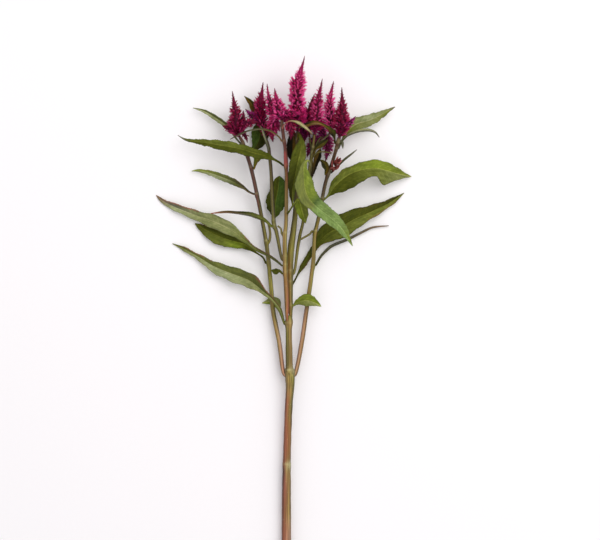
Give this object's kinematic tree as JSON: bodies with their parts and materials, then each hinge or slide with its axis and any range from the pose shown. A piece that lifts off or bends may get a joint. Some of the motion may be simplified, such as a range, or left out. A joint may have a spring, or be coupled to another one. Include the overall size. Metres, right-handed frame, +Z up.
{
  "type": "wheat celosia stem",
  "caption": "Cut branched stem of wheat celosia lying down, with magenta pointed flower spikes and long green leaves.",
  "frame": {"origin": "on the surface that the stem lies on, under the middle of the part's outline seen from above", "axes": "+Y from the cut end to the flower spikes, +Z up from the surface, +X to the right seen from above"},
  "size_m": [0.2555, 0.5432, 0.055],
  "materials": {
    "stem": "red-brown and olive woody skin with fine lengthwise lines",
    "branch": "olive to tan smooth skin",
    "leaf": "mid green blade with a soft sheen and fine veins",
    "leaf_grey": "grey green blade with a pale midrib",
    "florets_bright": "papery bright magenta florets",
    "florets_mid": "papery magenta florets",
    "florets_dark": "papery dark maroon florets",
    "florets_purple": "papery dark purple florets",
    "shoot": "young red and green leaflets"
  },
  "bodies": {
    "root": {"centre_stalk": "branch", "inner_stalk": "branch", "leaf_arching_left": "leaf_grey", "leaf_behind_left_spikes": "leaf", "leaf_centre_front": "leaf_grey", "leaf_centre_hanging": "leaf", "leaf_centre_top": "leaf", "leaf_dark_centre": "leaf", "leaf_dark_right": "leaf", "leaf_left_behind": "leaf", "leaf_left_edge_on": "leaf", "leaf_left_long": "leaf_grey", "leaf_left_low": "leaf_grey", "leaf_left_slim": "leaf_grey", "leaf_left_stub": "leaf", "leaf_left_top": "leaf", "leaf_left_under": "leaf", "leaf_left_upper_flower": "leaf_grey", "leaf_left_young": "leaf", "leaf_pale_centre": "leaf_grey", "leaf_pale_left": "leaf_grey", "leaf_right_edge_on": "leaf", "leaf_right_fork": "leaf", "leaf_right_low": "leaf", "leaf_right_narrow": "leaf", "leaf_right_tiny": "leaf", "leaf_right_top": "leaf", "leaf_right_top_slim": "leaf", "leaf_right_wide": "leaf", "leaf_right_young": "leaf", "leaf_small_fork": "leaf", "leaf_under_left_spikes": "leaf", "leaf_under_right_spikes": "leaf", "leaf_withered": "leaf", "left_branch": "branch", "left_stalk": "branch", "main_stem": "stem", "outer_stalk": "branch", "right_branch": "branch", "spike_centre": "florets_bright", "spike_far_left": "florets_dark", "spike_far_right": "florets_dark", "spike_left_back": "florets_mid", "spike_left_front": "florets_bright", "spike_low_centre": "florets_purple", "spike_low_right": "florets_purple", "spike_right_back": "florets_dark", "spike_right_mid": "florets_mid", "spike_right_tall": "florets_mid", "stalk_to_low_centre": "branch", "stalk_to_low_right": "branch", "stalk_to_right_back": "branch", "stalk_to_right_tall": "branch", "twig_centre": "branch", "twig_left": "branch", "twig_right": "branch", "twig_upper_right": "branch", "young_shoot": "shoot"}
  },
  "joints": []
}
